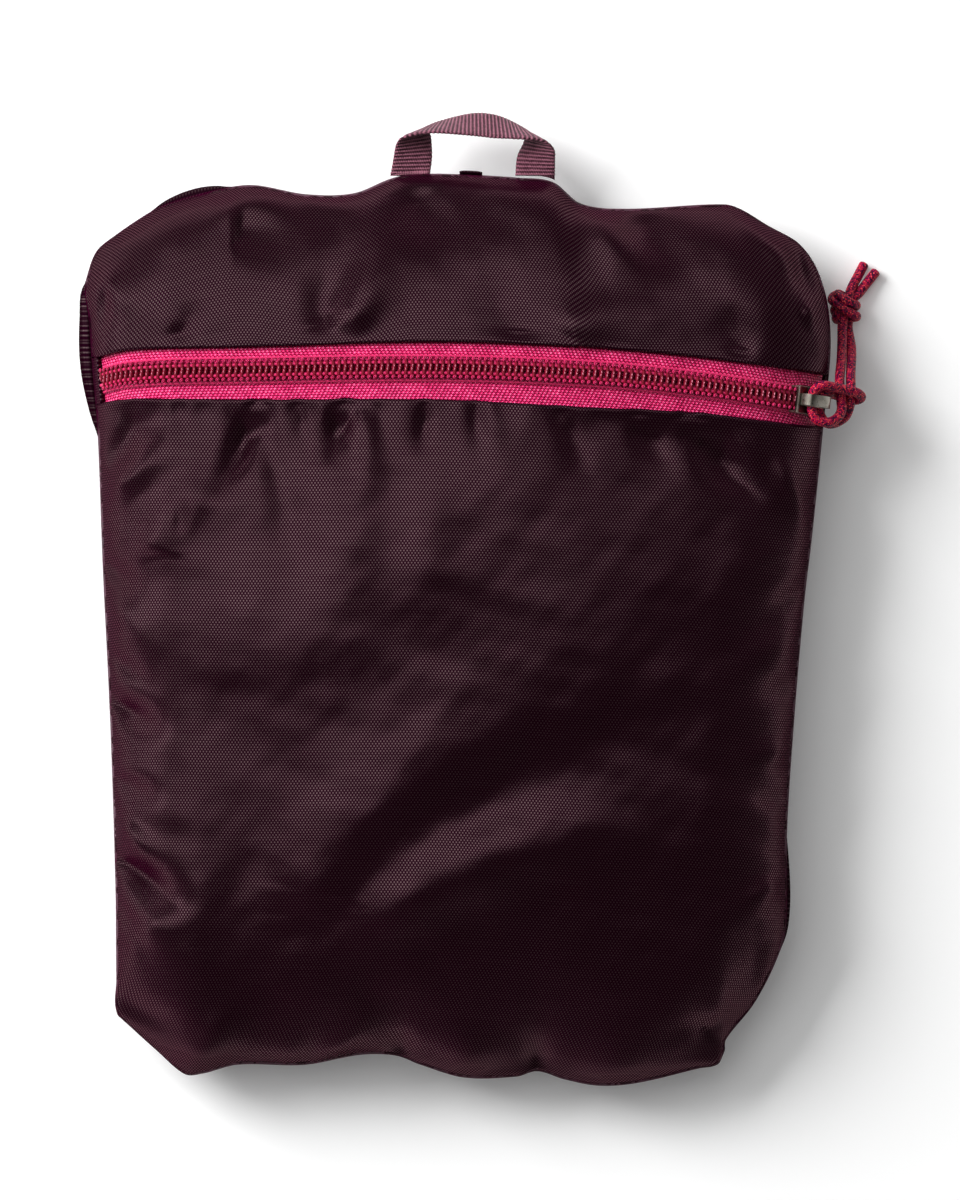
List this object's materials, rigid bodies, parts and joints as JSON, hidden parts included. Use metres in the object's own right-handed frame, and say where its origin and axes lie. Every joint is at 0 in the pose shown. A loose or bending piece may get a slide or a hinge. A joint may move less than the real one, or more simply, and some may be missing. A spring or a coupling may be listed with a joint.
{
  "type": "packable backpack in its stow pouch",
  "caption": "Nylon packable backpack stuffed into its own zipped pocket, with a two-tape coil zipper, cord pull and webbing haul loop.",
  "frame": {"origin": "on the ground under the middle of the pouch and its haul loop", "axes": "+X to the pouch's right, +Y up the pouch towards the haul loop, +Z out of the zipped front"},
  "size_m": [0.2111, 0.2562, 0.046],
  "materials": {
    "pouch_cloth": "plain weave nylon, slight sheen",
    "back_cloth": "plain weave nylon, slight sheen",
    "packed_cloth": "plain weave nylon",
    "zipper_tape": "coarse woven polyester",
    "zipper_coil": "glossy monofilament",
    "slider_metal": "dark antique nickel",
    "cord": "braided polyester",
    "webbing": "ribbed grosgrain"
  },
  "bodies": {
    "root": {"back_panel": "back_cloth", "front_lower_panel": "pouch_cloth", "front_upper_panel": "pouch_cloth", "folded_pack": "packed_cloth", "zipper_tape_upper": "zipper_tape", "zipper_tape_lower": "zipper_tape", "zipper_coil_upper": "zipper_coil", "zipper_coil_lower": "zipper_coil", "zipper_end_tab": "back_cloth", "zipper_slider": "slider_metal", "pull_cord": "cord", "pull_cord_knot": "cord", "haul_loop": "webbing", "hang_tab": "back_cloth"}
  },
  "joints": []
}
